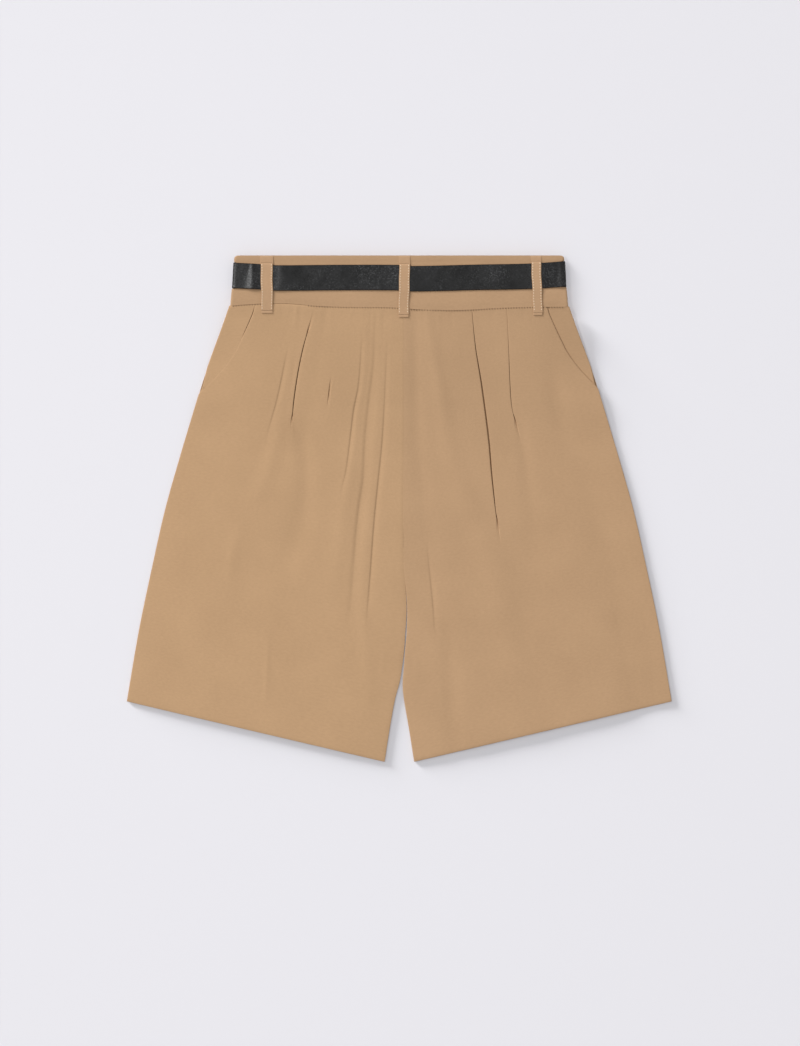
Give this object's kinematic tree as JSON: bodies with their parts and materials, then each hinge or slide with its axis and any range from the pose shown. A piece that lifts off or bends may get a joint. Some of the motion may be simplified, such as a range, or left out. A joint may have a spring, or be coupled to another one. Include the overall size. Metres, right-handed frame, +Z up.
{
  "type": "belted shorts",
  "caption": "High-waisted pleated shorts laid flat, with slanted pocket openings, belt loops and a plain leather belt buckled at the hidden side.",
  "frame": {"origin": "under the middle of the garment's box, on the surface it lies on", "axes": "+Z up through the front of the shorts, +Y towards the waist, +X to the right as seen from above with the waist away from the viewer"},
  "size_m": [0.545, 0.5055, 0.0129],
  "materials": {
    "cloth": "matt fine twill in warm tan",
    "belt_leather": "smooth black leather with a soft mottled sheen",
    "buckle_metal": "plain polished steel"
  },
  "bodies": {
    "root": {"front_left": "cloth", "front_right": "cloth", "pocket_facing_left": "cloth", "pocket_facing_right": "cloth", "back_left": "cloth", "back_right": "cloth", "waistband_front": "cloth", "waistband_back_left": "cloth", "waistband_back_right": "cloth", "belt_loop_front_left": "cloth", "belt_loop_front_centre": "cloth", "belt_loop_front_right": "cloth", "belt_loop_back_left": "cloth", "belt_loop_back_right": "cloth", "belt_strap": "belt_leather", "belt_keeper": "belt_leather", "buckle_frame": "buckle_metal", "buckle_prong": "buckle_metal"}
  },
  "joints": []
}
